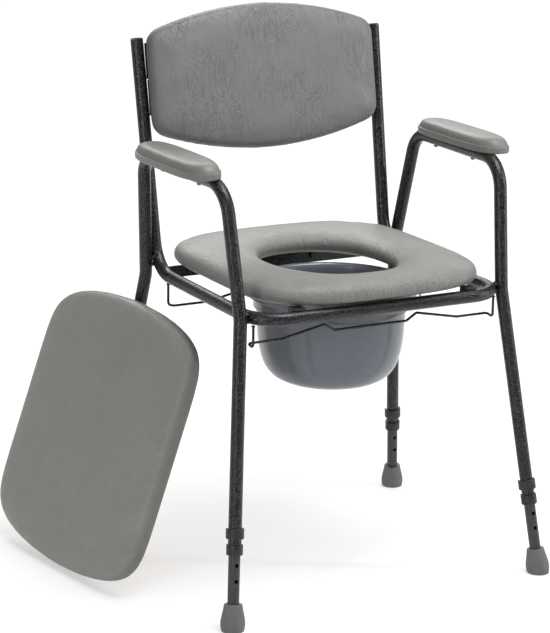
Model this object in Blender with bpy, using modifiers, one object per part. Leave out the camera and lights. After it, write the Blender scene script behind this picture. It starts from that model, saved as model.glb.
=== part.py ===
"""A height-adjustable commode chair: two bent-tube side frames, a bent-tube seat and back
frame, telescopic legs, a padded seat with an opening, a backrest, armrests, a pan on two
carrier wires, and a loose lid cushion that leans on the left side of the chair.

Metres, +Z up. The front of the chair faces -Y. The chair stands on the plane Z = 0.
"""

from math import cos, pi, radians, sin

import bmesh
import bpy
from mathutils import Matrix, Vector

# ---------------------------------------------------------------- driving dimensions
GAP = 0.0003

CENTRING = (0.0678, -0.0579, 0.0)

TUBE_R = 0.011
TUBE_SIDES = 4
KINK_R = 0.06

KINK_X = 0.246
KINK_Z = 0.487
ARM_Z = 0.698
FRONT_KINK_Y = -0.1712
REAR_KINK_Y = 0.1806
FRONT_SPLAY = (0.0968, -0.1523)
REAR_SPLAY = (0.1184, 0.1631)
FRONT_ARM = (0.2567, -0.1373)
REAR_ARM = (0.2659, 0.1461)
FRONT_ARM_R = 0.055
REAR_ARM_R = 0.040

RAIL_Z = 0.489
RAIL_FRONT = (0.2297, -0.2014)
RAIL_REAR = (0.2255, 0.1784)
RAIL_FRONT_R = 0.058
RAIL_REAR_R = 0.063
RECLINE = radians(10.2)
UPRIGHT_TOP_X = 0.2315
UPRIGHT_LENGTH = 0.3945
CAP_HEIGHT = 0.003

LEG_R = 0.0095
LEG_BORE_R = 0.0083
LEG_START = 0.009
LEG_LENGTH = 0.292
SOCKET_R = 0.0099
OUTER_END = 0.125
BORE_TOP = 0.392
PIN_AT = 0.1555
PIN_R = 0.0028
HOLE_R = 0.0033
HOLE_PITCH = 0.0254
HOLES_BELOW = 3
HOLES_ABOVE = 2

BUSH_R = 0.0135
BUSH_HEIGHT = 0.017
CLIP_R = 0.0148
CLIP_HEIGHT = 0.017
FOOT_R = 0.020
FOOT_HEIGHT = 0.042

PAD_HALF = (0.2180, 0.2315)
PAD_CENTRE = (0.0060, 0.0120)
PAD_SHAPE = (3.1, 4.8)
PAD_BASE = 0.5040
PAD_CROWN = 0.0360
PAD_RECESS = 0.0095
OPENING_HALF = (0.106, 0.129)
OPENING_CENTRE_Y = 0.0
OPENING_SHAPE = (2.2, 2.2)
BOARD_INSET = 0.0245

LID_CENTRE = (-0.3366, 0.1595, 0.2182)
LID_HALF = (0.2229, 0.2369)
LID_SHAPE = (1.9, 8.5)
LID_YAW = radians(8.45)
LID_LEAN = radians(19.7)
LID_ROLL = radians(-1.27)
LID_HEIGHT = 1.08

BACK_HALF_WIDTH = 0.2195
BACK_CENTRE_X = -0.0060
BACK_BOTTOM = (0.193, 0.233)
BACK_TOP = (0.4462, 0.405)
BACK_CORNER_R = 0.030
BACK_FACE = -0.0095
BACK_RECESS = 0.0095

ARM_PAD_HALF = (0.0345, 0.1250)
ARM_PAD_CENTRE = (0.2722, 0.0048, 0.7043)
ARM_PAD_SHAPE = (2.4, 4.1)
ARM_PAD_YAW = radians(0.43)
ARM_PAD_ROLL = radians(1.8)
ARM_SCREW_Y = (-0.050, 0.075)

WIRE_R = 0.0022
WIRE_FRONT_Y = -0.1600
WIRE_REAR_Y = 0.1060
WIRE_LOW_Z = 0.4486
WIRE_BUMP_Z = 0.4603
WIRE_FLAT_Z = 0.4447
WIRE_END_X = {"front": 0.2260, "rear": 0.2290}

PAN_Y = -0.0270
PAN_RIM_Z = 0.4925
PAN_RIM_R = 0.1435
PAN_WALL = 0.0022
PAN_TURN = radians(55)
BAIL_R = 0.0016
BAIL_BOW = 0.1515
BAIL_DROP = radians(5.6)

SADDLE_R = 0.0125
CROSSBAR_SIZE = (0.4280, 0.0030, 0.0205)
CROSSBAR_Y = 0.1575

# ---------------------------------------------------------------- scene set-up
for old in list(bpy.data.objects):
    bpy.data.objects.remove(old, do_unlink=True)

chair = bpy.data.collections.new("commode_chair")
cutters = bpy.data.collections.new("cutters")
bpy.context.scene.collection.children.link(chair)
bpy.context.scene.collection.children.link(cutters)
cutters.hide_render = True


def material(name, colour, roughness, metallic=0.0):
    made = bpy.data.materials.new(name)
    made.use_nodes = True
    shader = made.node_tree.nodes["Principled BSDF"]
    shader.inputs["Base Color"].default_value = (*colour, 1.0)
    shader.inputs["Roughness"].default_value = roughness
    shader.inputs["Metallic"].default_value = metallic
    made.diffuse_color = (*colour, 1.0)
    return made


PAINT = (0.012, 0.011, 0.012)
VINYL_GREY = (0.30, 0.30, 0.28)
PLYWOOD = (0.35, 0.22, 0.12)


# ---------------------------------------------------------------- helpers
def link(obj, name, look, collection=chair):
    obj.name = name
    obj.data.name = name
    for holder in list(obj.users_collection):
        holder.objects.unlink(obj)
    collection.objects.link(obj)
    if look is not None:
        obj.data.materials.clear()
        obj.data.materials.append(look)
    return obj


def mesh_object(name, bm, look, collection=chair):
    bmesh.ops.recalc_face_normals(bm, faces=bm.faces)
    mesh = bpy.data.meshes.new(name)
    bm.to_mesh(mesh)
    bm.free()
    mesh.shade_smooth()
    mesh.set_sharp_from_angle(angle=radians(38))
    return link(bpy.data.objects.new(name, mesh), name, look, collection)


def as_cutter(obj):
    obj.hide_render = True
    obj.display_type = "WIRE"
    return obj


def boolean(obj, other, operation="DIFFERENCE"):
    modifier = obj.modifiers.new(operation.lower() + "_" + other.name, "BOOLEAN")
    modifier.operation = operation
    modifier.object = other
    modifier.solver = "EXACT"


def parent_to(obj, frame):
    obj.parent = frame
    return obj


def empty(name, matrix):
    frame = bpy.data.objects.new(name, None)
    frame.empty_display_size = 0.03
    chair.objects.link(frame)
    frame.matrix_world = matrix
    return frame


def fillet(points, radii, step=radians(15)):
    """A polyline with each inner corner replaced by a circular arc of its radius."""
    path = [Vector(points[0])]
    for before, corner, after, radius in zip(points, points[1:], points[2:], radii):
        corner = Vector(corner)
        back = (Vector(before) - corner).normalized()
        ahead = (Vector(after) - corner).normalized()
        turn = pi - back.angle(ahead)
        reach = radius * (1 - cos(turn)) / sin(turn)
        centre = corner + (back + ahead).normalized() * radius / cos(turn / 2)
        start = corner + back * reach - centre
        axis = start.cross(corner + ahead * reach - centre)
        count = max(2, round(turn / step))
        for i in range(count + 1):
            path.append(centre + Matrix.Rotation(turn * i / count, 3, axis) @ start)
    path.append(Vector(points[-1]))
    return path


def tube(name, path, radius, look, sides=TUBE_SIDES, collection=chair):
    """A round bar along the path, as a mesh with its caps welded."""
    curve = bpy.data.curves.new(name, "CURVE")
    curve.dimensions = "3D"
    curve.bevel_depth = radius
    curve.bevel_resolution = sides
    curve.use_fill_caps = True
    spline = curve.splines.new("POLY")
    spline.points.add(len(path) - 1)
    for point, where in zip(spline.points, path):
        point.co = (*where, 1.0)
    guide = bpy.data.objects.new(name + "_guide", curve)
    chair.objects.link(guide)
    graph = bpy.context.evaluated_depsgraph_get()
    mesh = bpy.data.meshes.new_from_object(guide.evaluated_get(graph))
    bm = bmesh.new()
    bm.from_mesh(mesh)
    bmesh.ops.remove_doubles(bm, verts=bm.verts, dist=0.00001)
    world = guide.matrix_world.copy()
    bpy.data.objects.remove(guide, do_unlink=True)
    bpy.data.meshes.remove(mesh)
    made = mesh_object(name, bm, look, collection)
    made.matrix_world = world
    return made


def cylinder(name, radius, bottom, top, look, sides=20, collection=chair, axis="Z"):
    bm = bmesh.new()
    turn = {"Z": Matrix(), "Y": Matrix.Rotation(-pi / 2, 4, "X"), "X": Matrix.Rotation(pi / 2, 4, "Y")}
    place = turn[axis] @ Matrix.Translation((0, 0, (bottom + top) / 2))
    bmesh.ops.create_cone(
        bm,
        cap_ends=True,
        segments=sides,
        radius1=radius,
        radius2=radius,
        depth=top - bottom,
        matrix=place,
    )
    return mesh_object(name, bm, look, collection)


def box(name, size, centre, look, collection=chair, bevel=0.0):
    bm = bmesh.new()
    bmesh.ops.create_cube(bm, size=1.0, matrix=Matrix.Translation(centre) @ Matrix.Diagonal((*size, 1)))
    if bevel:
        bmesh.ops.bevel(bm, geom=bm.edges, offset=bevel, segments=2, profile=0.5, affect="EDGES")
    return mesh_object(name, bm, look, collection)


def turned(name, profile, look, steps=24, collection=chair):
    """A profile of (radius, height) pairs, running down its outer side, turned about Z."""
    bm = bmesh.new()
    corners = [bm.verts.new((radius, 0, height)) for radius, height in profile]
    for a, b in zip(corners, corners[1:]):
        bm.edges.new((a, b))
    mesh = bpy.data.meshes.new(name)
    bm.to_mesh(mesh)
    bm.free()
    made = link(bpy.data.objects.new(name, mesh), name, look, collection)
    screw = made.modifiers.new("turn", "SCREW")
    screw.steps = steps
    screw.render_steps = steps
    screw.use_merge_vertices = True
    screw.merge_threshold = 0.00001
    screw.use_smooth_shade = True
    return made


def loft(name, rings, look, closed, collection=chair):
    """A skin through rings with equal counts of points: a closed loop of rings, or capped ends."""
    bm = bmesh.new()
    rows = [[bm.verts.new(point) for point in ring] for ring in rings]
    pairs = list(zip(rows, rows[1:]))
    if closed:
        pairs.append((rows[-1], rows[0]))
    count = len(rows[0])
    for lower, upper in pairs:
        for i in range(count):
            j = (i + 1) % count
            bm.faces.new((lower[i], lower[j], upper[j], upper[i]))
    if not closed:
        bm.faces.new(list(reversed(rows[0])))
        bm.faces.new(rows[-1])
    return mesh_object(name, bm, look, collection)


def oval(half_x, half_y, shape, centre_y, height, count=36):
    """A superellipse: shape (2, 2) is an ellipse, and larger powers are squarer."""
    ring = []
    for i in range(count):
        angle = 2 * pi * (i + 0.5) / count
        x = abs(cos(angle)) ** (2 / shape[0])
        y = abs(sin(angle)) ** (2 / shape[1])
        x = x if cos(angle) > 0 else -x
        y = y if sin(angle) > 0 else -y
        ring.append(Vector((half_x * x, centre_y + half_y * y, height)))
    return ring


def mirrored(points):
    return [Vector((-point[0], *point[1:])) for point in points]


def screw_piece(name, head_r, head_height, shank_r, length, look):
    """A pan-head screw pointing along +Z, with its head's underside at Z = 0."""
    profile = [
        (0.0, length),
        (shank_r, length),
        (shank_r, 0.0),
        (head_r, 0.0),
        (head_r * 0.92, -head_height * 0.6),
        (head_r * 0.55, -head_height),
        (0.0, -head_height),
    ]
    return turned(name, profile, look, steps=10)


# ---------------------------------------------------------------- side frames
def side_point(side, splay, kink_y, height):
    """A point on a lower leg's axis at a height below the kink."""
    drop = KINK_Z - height
    return Vector((side * (KINK_X + splay[0] * drop), kink_y + splay[1] * drop, height))


def leg_frame(side, splay, kink_y):
    """A frame at the foot of a leg: Z up its axis, and Y as near to the rear as it can be."""
    foot = side_point(side, splay, kink_y, 0.0)
    up = (side_point(side, splay, kink_y, KINK_Z) - foot).normalized()
    across = Vector((0, 1, 0)).cross(up).normalized()
    rear = up.cross(across)
    turn = Matrix((across, rear, up)).transposed().to_4x4()
    return Matrix.Translation(foot) @ turn


LEGS = {
    "front_left": (-1, FRONT_SPLAY, FRONT_KINK_Y),
    "front_right": (1, FRONT_SPLAY, FRONT_KINK_Y),
    "rear_left": (-1, REAR_SPLAY, REAR_KINK_Y),
    "rear_right": (1, REAR_SPLAY, REAR_KINK_Y),
}
leg_frames = {name: empty("axis_" + name, leg_frame(*facts)) for name, facts in LEGS.items()}


def leg_cutter(name, leg, radius, bottom, top, axis="Z", along=0.0, sides=20):
    cutter = as_cutter(cylinder(name, radius, bottom, top, None, sides, cutters, axis))
    cutter.parent = leg_frames[leg]
    cutter.location = (0, 0, along)
    return cutter


def make_side_frame(label, side):
    look = material("frame_paint_" + label, PAINT, 0.3, 0.4)
    ends = []
    for splay, kink_y in ((FRONT_SPLAY, FRONT_KINK_Y), (REAR_SPLAY, REAR_KINK_Y)):
        frame = leg_frame(side, splay, kink_y)
        ends.append(frame @ Vector((0, 0, OUTER_END)))
    points = [
        ends[0],
        side_point(side, FRONT_SPLAY, FRONT_KINK_Y, KINK_Z),
        (side * FRONT_ARM[0], FRONT_ARM[1], ARM_Z),
        (side * REAR_ARM[0], REAR_ARM[1], ARM_Z),
        side_point(side, REAR_SPLAY, REAR_KINK_Y, KINK_Z),
        ends[1],
    ]
    path = fillet(points, (KINK_R, FRONT_ARM_R, REAR_ARM_R, KINK_R))
    made = tube("side_frame_" + label, path, TUBE_R, look)
    for leg in ("front_" + label, "rear_" + label):
        boolean(made, leg_cutter("bore_" + leg, leg, SOCKET_R, OUTER_END - 0.02, BORE_TOP))
        boolean(made, leg_cutter("pin_hole_" + leg, leg, HOLE_R, -0.020, -0.004, "Y", PIN_AT, 10))
    return made


side_frames = {"left": make_side_frame("left", -1), "right": make_side_frame("right", 1)}


# ---------------------------------------------------------------- telescopic legs
def make_foot(leg):
    look = material("foot_rubber_" + leg, (0.19, 0.185, 0.175), 0.75)
    profile = [
        (LEG_R + GAP, FOOT_HEIGHT),
        (0.0135, FOOT_HEIGHT),
        (0.0146, FOOT_HEIGHT - 0.0015),
        (0.0166, FOOT_HEIGHT - 0.0110),
        (0.0188, FOOT_HEIGHT - 0.0210),
        (FOOT_R - 0.0001, 0.0130),
        (FOOT_R, 0.0090),
        (FOOT_R - 0.0008, 0.0030),
        (FOOT_R - 0.0030, -0.008),
        (0.0, -0.008),
        (0.0, LEG_START - GAP),
        (LEG_R + GAP, LEG_START - GAP),
        (LEG_R + GAP, FOOT_HEIGHT),
    ]
    made = turned("foot_" + leg, profile, look, steps=16)
    parent_to(made, leg_frames[leg])
    boolean(made, floor_cutter)
    return made


def make_inner_leg(leg):
    look = material("inner_leg_paint_" + leg, (0.05, 0.05, 0.05), 0.5, 0.3)
    top = LEG_START + LEG_LENGTH
    profile = [
        (LEG_BORE_R, top),
        (LEG_R, top),
        (LEG_R, LEG_START),
        (LEG_BORE_R, LEG_START),
        (LEG_BORE_R, top),
    ]
    made = turned("inner_leg_" + leg, profile, look, steps=16)
    parent_to(made, leg_frames[leg])
    for k in range(-HOLES_BELOW, HOLES_ABOVE + 1):
        at = PIN_AT + k * HOLE_PITCH
        hole = leg_cutter("hole_%s_%d" % (leg, k + HOLES_BELOW), leg, HOLE_R, -0.02, 0.02, "Y", at, 8)
        boolean(made, hole)
    return made


def make_bush(leg):
    look = material("bush_plastic_" + leg, (0.03, 0.03, 0.03), 0.5)
    low = OUTER_END - 0.004
    high = low + BUSH_HEIGHT
    profile = [
        (TUBE_R + GAP, high),
        (BUSH_R - 0.0008, high),
        (BUSH_R, high - 0.0008),
        (BUSH_R, low + 0.0008),
        (BUSH_R - 0.0008, low),
        (LEG_R + GAP, low),
        (LEG_R + GAP, OUTER_END - GAP),
        (TUBE_R + GAP, OUTER_END - GAP),
        (TUBE_R + GAP, high),
    ]
    return parent_to(turned("end_bush_" + leg, profile, look, steps=16), leg_frames[leg])


def make_clip(leg):
    """A U-shaped clip that slides off towards the front, with its pin in the outer tube's wall."""
    look = material("clip_plastic_" + leg, (0.025, 0.025, 0.025), 0.45)
    made = cylinder("adjustment_clip_" + leg, CLIP_R, -CLIP_HEIGHT / 2, CLIP_HEIGHT / 2, look, sides=24)
    mouth = TUBE_R + 0.0004
    throat = box(
        "clip_throat_" + leg,
        (2 * mouth, 0.04, 0.05),
        (0, 0.02, 0),
        None,
        collection=cutters,
    )
    seat = cylinder("clip_seat_" + leg, mouth, -0.025, 0.025, None, sides=28, collection=cutters)
    pin = cylinder("clip_pin_" + leg, PIN_R, -CLIP_R + 0.0005, -LEG_R - GAP, None, 12, cutters, "Y")
    for cutter in (throat, seat, pin):
        as_cutter(cutter)
        cutter.parent = leg_frames[leg]
        cutter.location = (0, 0, PIN_AT)
    made.parent = leg_frames[leg]
    made.location = (0, 0, PIN_AT)
    boolean(made, throat)
    boolean(made, seat)
    boolean(made, pin, "UNION")
    return made


floor_cutter = as_cutter(box("below_floor", (2, 2, 0.2), (0, 0, -0.1), None, collection=cutters))
for leg_name in LEGS:
    make_foot(leg_name)
    make_inner_leg(leg_name)
    make_bush(leg_name)
    make_clip(leg_name)


# ---------------------------------------------------------------- seat and back frame
def upright_point(side, along):
    """A point on an upright's axis, at a distance up it from the seat rail."""
    x = RAIL_REAR[0] + (UPRIGHT_TOP_X - RAIL_REAR[0]) * along / UPRIGHT_LENGTH
    return Vector((side * x, RAIL_REAR[1] + along * sin(RECLINE), RAIL_Z + along * cos(RECLINE)))


def make_seat_back_frame():
    look = material("seat_frame_paint", PAINT, 0.3, 0.4)
    points = [
        upright_point(-1, UPRIGHT_LENGTH),
        (-RAIL_REAR[0], RAIL_REAR[1], RAIL_Z),
        (-RAIL_FRONT[0], RAIL_FRONT[1], RAIL_Z),
        (RAIL_FRONT[0], RAIL_FRONT[1], RAIL_Z),
        (RAIL_REAR[0], RAIL_REAR[1], RAIL_Z),
        upright_point(1, UPRIGHT_LENGTH),
    ]
    path = fillet(points, (RAIL_REAR_R, RAIL_FRONT_R, RAIL_FRONT_R, RAIL_REAR_R))
    return tube("seat_back_frame", path, TUBE_R, look)


def make_upright_caps():
    for label, side in (("left", -1), ("right", 1)):
        look = material("cap_plastic_" + label, (0.02, 0.02, 0.02), 0.5)
        profile = [
            (0.0, GAP + CAP_HEIGHT),
            (TUBE_R * 0.55, GAP + CAP_HEIGHT),
            (TUBE_R * 0.92, GAP + CAP_HEIGHT * 0.6),
            (TUBE_R, GAP + CAP_HEIGHT * 0.2),
            (TUBE_R, GAP),
            (0.0, GAP),
        ]
        cap = turned("upright_cap_" + label, profile, look, steps=12)
        cap.location = upright_point(side, UPRIGHT_LENGTH)
        cap.rotation_euler = (-RECLINE, 0, 0)


def make_crossbar():
    look = material("crossbar_paint", PAINT, 0.35, 0.4)
    centre = (0, CROSSBAR_Y, RAIL_Z + TUBE_R - CROSSBAR_SIZE[2] / 2)
    return box("rear_crossbar", CROSSBAR_SIZE, centre, look, bevel=0.0006)


seat_back_frame = make_seat_back_frame()
make_upright_caps()
make_crossbar()


# ---------------------------------------------------------------- pan carrier wires
def make_wire(label, y, end_y):
    """One carrier wire: down from the rail, inboard, then across with a bump each side."""
    look = material("wire_paint_" + label, PAINT, 0.4, 0.5)
    top = RAIL_Z - TUBE_R - GAP
    end_x = WIRE_END_X[label]
    half = [
        (end_x, end_y, top),
        (end_x, end_y, WIRE_FLAT_Z - 0.0035),
        (end_x, y, WIRE_FLAT_Z),
        (0.166, y, WIRE_FLAT_Z),
        (0.087, y, WIRE_BUMP_Z),
        (0.068, y, WIRE_LOW_Z),
    ]
    bends = (0.006, 0.006, 0.02, 0.004, 0.004)
    points = half + list(reversed(mirrored(half)))
    path = fillet(points, bends + tuple(reversed(bends)), step=radians(32))
    return tube("pan_wire_" + label, path, WIRE_R, look, sides=2)


make_wire("front", WIRE_FRONT_Y, WIRE_FRONT_Y - 0.0175)
make_wire("rear", WIRE_REAR_Y, WIRE_REAR_Y + 0.0220)


# ---------------------------------------------------------------- seat and lid cushions
def pad_rings(half, shape, rise, opening):
    """The skin of a cushion with a recess for its board, from the recess out and over the top."""
    outer = (
        (BOARD_INSET, PAD_RECESS),
        (BOARD_INSET, 0.0),
        (0.0120, 0.0),
        (0.0035, 0.0045),
        (0.0, 0.0150),
        (0.0040, 0.0262),
        (0.0140, 0.0325),
        (0.0340, 0.0354),
    )
    inner = (
        (0.0420, 0.0352),
        (0.0180, 0.0325),
        (0.0050, 0.0250),
        (0.0, 0.0155),
        (0.0030, 0.0045),
        (0.0090, 0.0),
        (0.0180, 0.0),
        (0.0180, PAD_RECESS),
    )
    a, b = half
    rings = [oval(a - inset, b - inset, shape, 0, height * rise) for inset, height in outer]
    if opening:
        a, b = OPENING_HALF
        y = OPENING_CENTRE_Y - PAD_CENTRE[1]
        rings += [oval(a + out, b + out, OPENING_SHAPE, y, height) for out, height in inner]
    else:
        rings.append(oval(a - 0.09, b - 0.09, (2.6, 3.6), 0, PAD_CROWN * rise))
    return rings


def board_rings(half, shape, opening):
    a, b = (width - BOARD_INSET - GAP for width in half)
    top = PAD_RECESS - GAP
    rings = [oval(a, b, shape, 0, 0.0004), oval(a, b, shape, 0, top)]
    if opening:
        c, d = (half + 0.0180 + GAP for half in OPENING_HALF)
        y = OPENING_CENTRE_Y - PAD_CENTRE[1]
        rings.append(oval(c, d, OPENING_SHAPE, y, top))
        rings.append(oval(c, d, OPENING_SHAPE, y, 0.0004))
    return rings


seat_place = Matrix.Translation((*PAD_CENTRE, PAD_BASE))
lid_place = (
    Matrix.Translation(LID_CENTRE)
    @ Matrix.Rotation(LID_YAW, 4, "Z")
    @ Matrix.Rotation(-(pi / 2 - LID_LEAN), 4, "Y")
    @ Matrix.Rotation(LID_ROLL, 4, "Z")
    @ Matrix.Rotation(pi / 2, 4, "Z")
)
CUSHIONS = (
    ("seat", seat_place, PAD_HALF, PAD_SHAPE, 1.0, True),
    ("lid", lid_place, LID_HALF, LID_SHAPE, LID_HEIGHT, False),
)
for cushion, place, size, shape, rise, opening in CUSHIONS:
    vinyl = material(cushion + "_vinyl", VINYL_GREY, 0.5)
    plywood = material(cushion + "_plywood", PLYWOOD, 0.7)
    axis = empty("axis_" + cushion, place)
    pad = loft(cushion + "_pad", pad_rings(size, shape, rise, opening), vinyl, opening)
    board = loft(cushion + "_board", board_rings(size, shape, opening), plywood, opening)
    parent_to(pad, axis)
    parent_to(board, axis)


def make_front_clip(label, x):
    """A hook under the seat board that rests on the front rail and stops behind it."""
    look = material("seat_clip_plastic_" + label, (0.02, 0.02, 0.02), 0.5)
    top = PAD_BASE
    low = RAIL_Z - 0.006
    centre = (x, RAIL_FRONT[1] + 0.0085, (top + low) / 2)
    made = box("seat_clip_" + label, (0.020, 0.021, top - low), centre, look)
    saddle = cylinder("saddle_" + label, SADDLE_R, -0.02, 0.02, None, collection=cutters, axis="X")
    saddle.location = (x, RAIL_FRONT[1] + 0.0004, RAIL_Z)
    boolean(made, as_cutter(saddle))
    return made


def make_rear_clip(label, x):
    """A fork under the seat board that straddles the crossbar."""
    look = material("seat_clip_plastic_" + label, (0.02, 0.02, 0.02), 0.5)
    top = PAD_BASE
    low = RAIL_Z + TUBE_R - 0.012
    made = box("seat_clip_" + label, (0.060, 0.012, top - low), (x, CROSSBAR_Y, (top + low) / 2), look)
    slot = box(
        "fork_slot_" + label,
        (0.08, CROSSBAR_SIZE[1] + 0.0010, 0.03),
        (x, CROSSBAR_Y, RAIL_Z + TUBE_R + 0.0004 - 0.015),
        None,
        collection=cutters,
    )
    boolean(made, as_cutter(slot))
    return made


make_front_clip("front_left", PAD_CENTRE[0] - 0.162)
make_front_clip("front_right", PAD_CENTRE[0] + 0.160)
make_rear_clip("rear_left", PAD_CENTRE[0] - 0.085)
make_rear_clip("rear_right", PAD_CENTRE[0] + 0.085)


# ---------------------------------------------------------------- backrest
back_place = Matrix.Translation((0, RAIL_REAR[1], RAIL_Z)) @ Matrix.Rotation(-RECLINE, 4, "X")
back_axis = empty("axis_back", back_place)


def back_outline(inset, depth):
    """The arched outline of the backrest in the plane of the uprights, moved in by an inset."""
    half = BACK_HALF_WIDTH - inset
    count = 9
    points = []
    for (middle, corner), direction in ((BACK_BOTTOM, 1), (BACK_TOP, -1)):
        middle = middle + direction * inset
        corner = corner + direction * inset
        arch = [
            (
                BACK_CENTRE_X + direction * half * (2 * i / (count - 1) - 1),
                middle + (corner - middle) * (2 * i / (count - 1) - 1) ** 2,
            )
            for i in range(count)
        ]
        points += arch
    radius = max(BACK_CORNER_R - inset, 0.006)
    corners = {0, count - 1, count, 2 * count - 1}
    ring = []
    total = len(points)
    for i, (x, z) in enumerate(points):
        if i not in corners:
            ring.append(Vector((x, depth, z)))
            continue
        trio = [Vector((*points[k % total], 0)) for k in (i - 1, i, i + 1)]
        for point in fillet(trio, (radius,), step=radians(15))[1:-1]:
            ring.append(Vector((point.x, depth, point.y)))
    return ring


def make_backrest():
    skin = (
        (0.0200, BACK_RECESS),
        (0.0200, 0.0),
        (0.0100, 0.0),
        (0.0025, 0.0040),
        (0.0, 0.0140),
        (0.0035, 0.0260),
        (0.0120, 0.0325),
        (0.0300, 0.0352),
    )
    rings = [back_outline(inset, BACK_FACE - depth) for inset, depth in skin]
    parent_to(loft("backrest_pad", rings, material("backrest_vinyl", (0.21, 0.21, 0.20), 0.5), False), back_axis)
    board = [
        back_outline(0.0200 + GAP, BACK_FACE - 0.0002),
        back_outline(0.0200 + GAP, BACK_FACE - BACK_RECESS + GAP),
    ]
    made = loft("backrest_board", board, material("backrest_plywood", (0.02, 0.02, 0.02), 0.6), False)
    return parent_to(made, back_axis)


def make_back_fixing(board, label, side, along):
    """A tab beside the upright, behind the board, with one screw through it."""
    look = material("bracket_paint_" + label, PAINT, 0.35, 0.5)
    upright_x = RAIL_REAR[0] + (UPRIGHT_TOP_X - RAIL_REAR[0]) * along / UPRIGHT_LENGTH
    outer = upright_x - 0.0094
    inner = outer - 0.0492
    face = BACK_FACE + GAP
    tab = box(
        "backrest_bracket_" + label,
        (outer - inner, 0.0025, 0.061),
        (side * (outer + inner) / 2, face + 0.00125, along),
        look,
    )
    parent_to(tab, back_axis)
    steel = material("screw_steel_" + label, (0.05, 0.05, 0.05), 0.35, 0.8)
    screw = screw_piece("backrest_screw_" + label, 0.0045, 0.0028, 0.0020, 0.0095, steel)
    hole = cylinder("screw_hole_" + label, 0.0024, -0.0100, 0.006, None, 12, cutters)
    spot = Matrix.Translation((side * (inner + 0.010), face + 0.0025 + GAP, along)) @ Matrix.Rotation(pi / 2, 4, "X")
    for piece in (screw, hole):
        piece.parent = back_axis
        piece.matrix_local = spot
    hole.matrix_local = spot @ Matrix.Translation((0, 0, 0.004)) @ Matrix.Rotation(pi, 4, "X")
    as_cutter(hole)
    boolean(tab, hole)
    boolean(board, hole)


backrest_board = make_backrest()
for side_label, side_sign in (("left", -1), ("right", 1)):
    for level, height in (("lower", 0.295), ("upper", 0.357)):
        make_back_fixing(backrest_board, side_label + "_" + level, side_sign, height)


# ---------------------------------------------------------------- armrests
def make_armrest(label, side):
    look = material("armrest_pu_" + label, (0.24, 0.24, 0.225), 0.6)
    skin = (
        (0.0014, 0.0014, 0.0),
        (0.0, 0.0, 0.0014),
        (0.0, 0.0, 0.0112),
        (0.0014, 0.0030, 0.0160),
        (0.0055, 0.0120, 0.0208),
        (0.0115, 0.0290, 0.0243),
        (0.0190, 0.0540, 0.0263),
        (0.0265, 0.0850, 0.0272),
    )
    width, length = ARM_PAD_HALF
    rings = []
    for inset_x, inset_y, height in skin:
        rings.append(oval(width - inset_x, length - inset_y, ARM_PAD_SHAPE, 0, height, count=30))
    pad = loft("armrest_pad_" + label, rings, look, False)
    pad.location = (side * ARM_PAD_CENTRE[0], ARM_PAD_CENTRE[1], ARM_PAD_CENTRE[2])
    pad.rotation_euler = (0, side * ARM_PAD_ROLL, -side * ARM_PAD_YAW)
    points = [
        (side * KINK_X, FRONT_KINK_Y, KINK_Z),
        (side * FRONT_ARM[0], FRONT_ARM[1], ARM_Z),
        (side * REAR_ARM[0], REAR_ARM[1], ARM_Z),
        (side * KINK_X, REAR_KINK_Y, KINK_Z),
    ]
    path = fillet(points, (FRONT_ARM_R, REAR_ARM_R))
    for name, drop in (("arm_channel_", 0.0), ("arm_channel_mouth_", 0.006)):
        lowered = [point - Vector((0, 0, drop)) for point in path]
        channel = tube(name + label, lowered, TUBE_R + 0.0005, None, collection=cutters)
        boolean(pad, as_cutter(channel))
    steel = material("arm_screw_steel_" + label, (0.05, 0.05, 0.05), 0.35, 0.8)
    for place, y in zip(("front", "rear"), ARM_SCREW_Y):
        slope = (REAR_ARM[0] - FRONT_ARM[0]) / (REAR_ARM[1] - FRONT_ARM[1])
        x = side * (FRONT_ARM[0] + slope * (y - FRONT_ARM[1]))
        name = label + "_" + place
        screw = screw_piece("armrest_screw_" + name, 0.0045, 0.0028, 0.0020, 0.0300, steel)
        screw.location = (x, y, ARM_Z - TUBE_R - GAP)
        hole = cylinder("arm_screw_hole_" + name, 0.0024, -0.004, 0.0310, None, 10, cutters)
        hole.location = screw.location
        as_cutter(hole)
        boolean(pad, hole)
        boolean(side_frames[label], hole)


make_armrest("left", -1)
make_armrest("right", 1)


# ---------------------------------------------------------------- pan and its bail
pan_axis = empty("axis_pan", Matrix.Translation((0, PAN_Y, PAN_RIM_Z)) @ Matrix.Rotation(PAN_TURN, 4, "Z"))


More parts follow.
